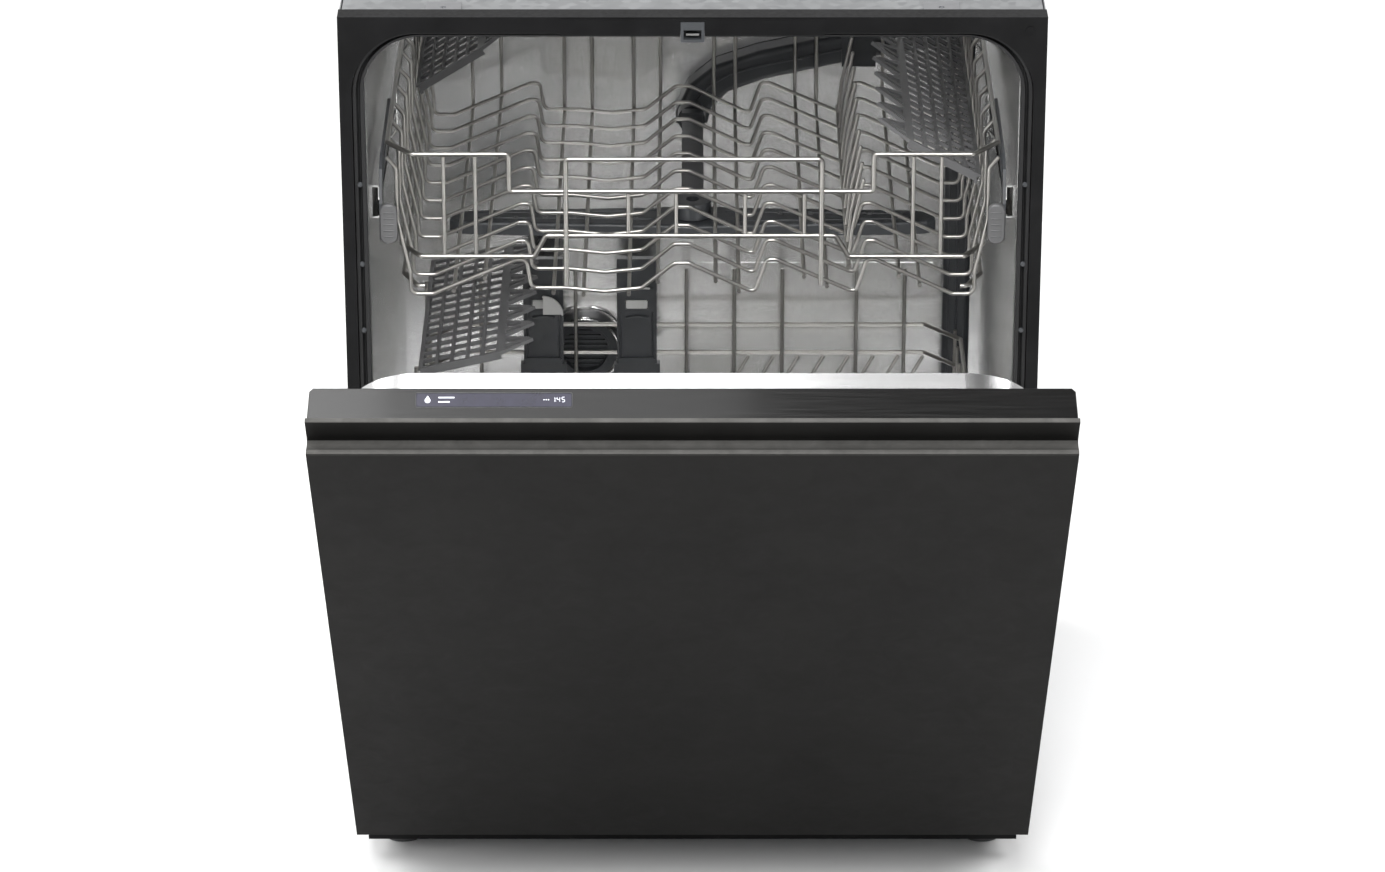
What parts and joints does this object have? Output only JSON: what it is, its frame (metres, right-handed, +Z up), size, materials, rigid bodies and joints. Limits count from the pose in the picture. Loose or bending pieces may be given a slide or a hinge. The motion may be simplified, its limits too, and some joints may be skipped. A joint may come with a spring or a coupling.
{
  "type": "built-in dishwasher",
  "caption": "Built-in dishwasher with a tilting door carrying a furniture front, a steel tub, two sliding wire baskets and rotating spray arms.",
  "frame": {"origin": "centre of the footprint of the whole object, on the floor, with the door stored part open", "axes": "+X to the right seen from the front, +Y from the door towards the back wall, +Z up"},
  "size_m": [0.596, 1.0464, 0.82],
  "materials": {
    "frame_black": "satin",
    "tub_steel": "satin",
    "casing_steel": "galvanised",
    "seal_rubber": "matte",
    "dark_plastic": "moulded",
    "grey_plastic": "moulded",
    "base_plastic": "moulded",
    "panel_gloss": "gloss",
    "display": "gloss",
    "front_board": "lacquered, ultra matt",
    "wire_steel": "polished wire",
    "bright_steel": "polished",
    "zinc_steel": "zinc plated",
    "light_plastic": "moulded",
    "foot_plastic": "moulded"
  },
  "bodies": {
    "cabinet": {"front_frame": "frame_black", "tub_wrapper": "tub_steel", "tub_back_wall": "tub_steel", "tub_floor": "tub_steel", "door_seal": "seal_rubber", "vent_grille": "dark_plastic", "water_duct": "dark_plastic", "casing_panels": "casing_steel", "base_tray": "base_plastic", "plinth_plate": "frame_black", "screw_feet": "foot_plastic", "sump_bowl": "base_plastic", "filter_plate": "bright_steel", "lower_arm_hub": "dark_plastic", "circulation_pump": "dark_plastic", "drain_pump": "light_plastic", "water_softener": "light_plastic", "inlet_valve": "light_plastic", "drain_spigot": "dark_plastic", "cable_gland": "dark_plastic", "worktop_brackets": "zinc_steel", "hinge_brackets": "zinc_steel", "door_springs": "zinc_steel", "latch_catch": "dark_plastic", "latch_striker": "bright_steel", "upper_rails": "bright_steel"},
    "door": {"door_inner_liner": "tub_steel", "door_outer_pan": "casing_steel", "control_panel": "panel_gloss", "display_window": "display", "control_board": "dark_plastic", "furniture_front": "front_board", "furniture_screws": "zinc_steel", "hinge_arms": "zinc_steel", "dispenser_body": "grey_plastic"},
    "dispenser_lid": {"dispenser_lid": "grey_plastic"},
    "rinse_aid_cap": {"rinse_aid_cap": "dark_plastic"},
    "latch_bolt": {"latch_bolt": "bright_steel"},
    "upper_basket": {"upper_basket_wires": "wire_steel", "upper_basket_rim": "wire_steel", "feed_pipe": "dark_plastic", "basket_runners": "bright_steel"},
    "upper_spray_arm": {"upper_spray_arm": "dark_plastic"},
    "height_lever_left": {"height_lever_left": "dark_plastic"},
    "height_lever_right": {"height_lever_right": "dark_plastic"},
    "upper_tine_row": {"upper_tine_row": "wire_steel"},
    "cup_shelf_upper_left": {"cup_shelf_upper_left": "grey_plastic"},
    "cup_shelf_upper_right": {"cup_shelf_upper_right": "grey_plastic"},
    "lower_basket": {"lower_basket_wires": "wire_steel", "lower_basket_rim": "wire_steel", "rear_supports": "dark_plastic", "wheel_holders": "dark_plastic"},
    "cup_shelf_lower": {"cup_shelf_lower": "grey_plastic"},
    "plate_tines_rear": {"plate_tines_rear": "wire_steel"},
    "plate_tines_front": {"plate_tines_front": "wire_steel"},
    "front_wheels": {"front_wheels": "grey_plastic"},
    "rear_wheels": {"rear_wheels": "grey_plastic"},
    "lower_spray_arm": {"lower_spray_arm": "dark_plastic"},
    "filter_cup": {"filter_cup": "grey_plastic"},
    "salt_cap": {"salt_cap": "grey_plastic"}
  },
  "joints": [
    {"name": "door_hinge", "type": "hinge", "parent": "cabinet", "child": "door", "pos_m": [0, -0.07077, 0.085], "axis": [1, 0, 0], "range_deg": [-37, 53]},
    {"name": "dispenser_lid_hinge", "type": "hinge", "parent": "door", "child": "dispenser_lid", "pos_m": [-0.082, -0.28461, 0.43723], "axis": [0, -0.6018, 0.7986], "range_deg": [0, 100]},
    {"name": "rinse_cap_turn", "type": "hinge", "parent": "door", "child": "rinse_aid_cap", "pos_m": [0.058, -0.28956, 0.4335], "axis": [0, 0.7986, 0.6018], "range_deg": [0, 90]},
    {"name": "latch_bolt_slide", "type": "slide", "parent": "door", "child": "latch_bolt", "axis": [0, -0.7986, -0.6018], "range_m": [0, 0.004], "stiffness_N_per_m": 400},
    {"name": "upper_basket_slide", "type": "slide", "parent": "cabinet", "child": "upper_basket", "axis": [0, -1, 0], "range_m": [0, 0.33]},
    {"name": "upper_arm_spin", "type": "hinge", "parent": "upper_basket", "child": "upper_spray_arm", "pos_m": [0, 0.19923, 0.535], "axis": [0, 0, 1], "continuous": true},
    {"name": "height_lever_left_lift", "type": "hinge", "parent": "upper_basket", "child": "height_lever_left", "pos_m": [-0.2672, 0.13123, 0.6715], "axis": [-1, 0, 0], "range_deg": [0, 14]},
    {"name": "height_lever_right_lift", "type": "hinge", "parent": "upper_basket", "child": "height_lever_right", "pos_m": [0.2672, 0.13123, 0.6715], "axis": [-1, 0, 0], "range_deg": [0, 14]},
    {"name": "upper_tines_fold", "type": "hinge", "parent": "upper_basket", "child": "upper_tine_row", "pos_m": [0.1355, 0.19923, 0.57], "axis": [0, -1, 0], "range_deg": [0, 60]},
    {"name": "cup_shelf_upper_left_fold", "type": "hinge", "parent": "upper_basket", "child": "cup_shelf_upper_left", "pos_m": [-0.2484, 0.32923, 0.6435], "axis": [0, -1, 0], "range_deg": [0, 52]},
    {"name": "cup_shelf_upper_right_fold", "type": "hinge", "parent": "upper_basket", "child": "cup_shelf_upper_right", "pos_m": [0.2484, 0.22123, 0.6435], "axis": [0, 1, 0], "range_deg": [0, 56]},
    {"name": "lower_basket_slide", "type": "slide", "parent": "cabinet", "child": "lower_basket", "axis": [0, -1, 0], "range_m": [0, 0.05]},
    {"name": "cup_shelf_lower_fold", "type": "hinge", "parent": "lower_basket", "child": "cup_shelf_lower", "pos_m": [-0.2472, 0.27023, 0.4115], "axis": [0, -1, 0], "range_deg": [0, 65]},
    {"name": "plate_tines_rear_fold", "type": "hinge", "parent": "lower_basket", "child": "plate_tines_rear", "pos_m": [0.05, 0.32123, 0.1995], "axis": [1, 0, 0], "range_deg": [0, 80]},
    {"name": "plate_tines_front_fold", "type": "hinge", "parent": "lower_basket", "child": "plate_tines_front", "pos_m": [0, 0.12123, 0.1995], "axis": [1, 0, 0], "range_deg": [0, 80]},
    {"name": "front_wheels_roll", "type": "hinge", "parent": "lower_basket", "child": "front_wheels", "pos_m": [0, 0.04123, 0.1464], "axis": [1, 0, 0], "continuous": true},
    {"name": "rear_wheels_roll", "type": "hinge", "parent": "lower_basket", "child": "rear_wheels", "pos_m": [0, 0.37923, 0.1464], "axis": [1, 0, 0], "continuous": true},
    {"name": "lower_arm_spin", "type": "hinge", "parent": "cabinet", "child": "lower_spray_arm", "pos_m": [0, 0.21123, 0.156], "axis": [0, 0, 1], "continuous": true},
    {"name": "filter_cup_turn", "type": "hinge", "parent": "cabinet", "child": "filter_cup", "pos_m": [0.029, 0.18973, 0.11], "axis": [0, 0, 1], "range_deg": [0, 90]},
    {"name": "salt_cap_turn", "type": "hinge", "parent": "cabinet", "child": "salt_cap", "pos_m": [-0.17, 0.34423, 0.13], "axis": [0, 0, 1], "continuous": true}
  ]
}
